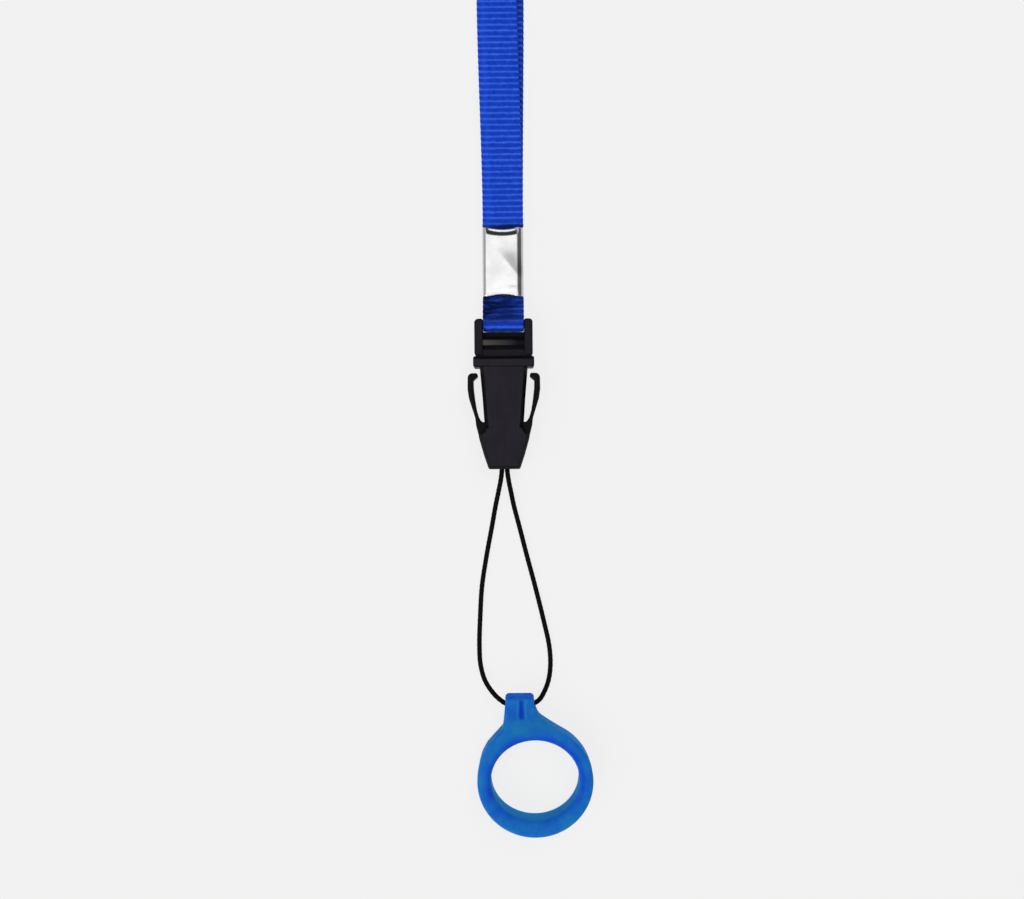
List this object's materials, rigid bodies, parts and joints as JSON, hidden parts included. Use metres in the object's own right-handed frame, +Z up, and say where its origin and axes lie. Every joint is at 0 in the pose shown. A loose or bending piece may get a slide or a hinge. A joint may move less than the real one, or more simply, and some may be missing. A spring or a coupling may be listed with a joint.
{
  "type": "neck lanyard",
  "caption": "Flat ribbed webbing neck lanyard with a metal crimp, a squeeze-release buckle, a thin cord loop and a soft ring that grips a slim tube.",
  "frame": {"origin": "middle of the lanyard's footprint as it lies flat, on the surface it lies on", "axes": "+Y along the strap, from the ring towards the folded neck loop; +X across it; +Z up from the surface"},
  "size_m": [0.0294, 0.325, 0.0074],
  "materials": {
    "blue_webbing": "ribbed nylon webbing, slight sheen",
    "black_elastic": "matt elastic band",
    "nickel_plate": "bright nickel plate on folded sheet metal",
    "black_plastic": "satin moulded acetal",
    "black_cord": "fine braided cord",
    "blue_silicone": "soft slightly see-through silicone, satin"
  },
  "bodies": {
    "neck_loop": {"neck_webbing_front": "blue_webbing", "neck_webbing_rear": "blue_webbing", "neck_webbing_hank": "blue_webbing", "buckle_webbing_loop": "blue_webbing", "hank_tie": "black_elastic", "crimp_clamp": "nickel_plate"},
    "plug": {"plug_frame": "black_plastic"},
    "prong_left": {"latch_prong_left": "black_plastic"},
    "prong_right": {"latch_prong_right": "black_plastic"},
    "housing": {"release_housing": "black_plastic", "cord_knot": "black_cord", "cord_loop": "black_cord"},
    "arm_left": {"release_arm_left": "black_plastic"},
    "arm_right": {"release_arm_right": "black_plastic"},
    "ring": {"holder_ring": "blue_silicone"}
  },
  "joints": [
    {"name": "buckle_swing", "type": "hinge", "parent": "neck_loop", "child": "plug", "pos_m": [-0.00599, -0.03923, 0.0033], "axis": [1, 0, 0], "range_deg": [-90, 90]},
    {"name": "buckle_pull", "type": "slide", "parent": "plug", "child": "housing", "axis": [0, -1, 0], "range_m": [0, 0.014]},
    {"name": "arm_right_squeeze", "type": "hinge", "parent": "housing", "child": "arm_right", "pos_m": [0.00031, -0.06232, 0.0033], "axis": [0, 0, 1], "range_deg": [0, 5.5], "stiffness_Nm_per_rad": 0.05},
    {"name": "arm_left_squeeze", "type": "hinge", "parent": "housing", "child": "arm_left", "pos_m": [-0.01229, -0.06232, 0.0033], "axis": [0, 0, -1], "range_deg": [0, 5.5], "stiffness_Nm_per_rad": 0.05},
    {"name": "prong_right_flex", "type": "hinge", "parent": "plug", "child": "prong_right", "pos_m": [-0.00274, -0.06082, 0.0033], "axis": [0, 0, 1], "range_deg": [0, 7]},
    {"name": "prong_left_flex", "type": "hinge", "parent": "plug", "child": "prong_left", "pos_m": [-0.00924, -0.06082, 0.0033], "axis": [0, 0, -1], "range_deg": [0, 7]},
    {"name": "ring_swing", "type": "hinge", "parent": "housing", "child": "ring", "pos_m": [-0.00279, -0.13142, 0.0035], "axis": [1, 0, 0], "range_deg": [-90, 90]}
  ],
  "couplings": [
    {"joint": "prong_right_flex", "follows": "arm_right_squeeze", "ratio": 1.1},
    {"joint": "prong_left_flex", "follows": "arm_left_squeeze", "ratio": 1.1}
  ]
}
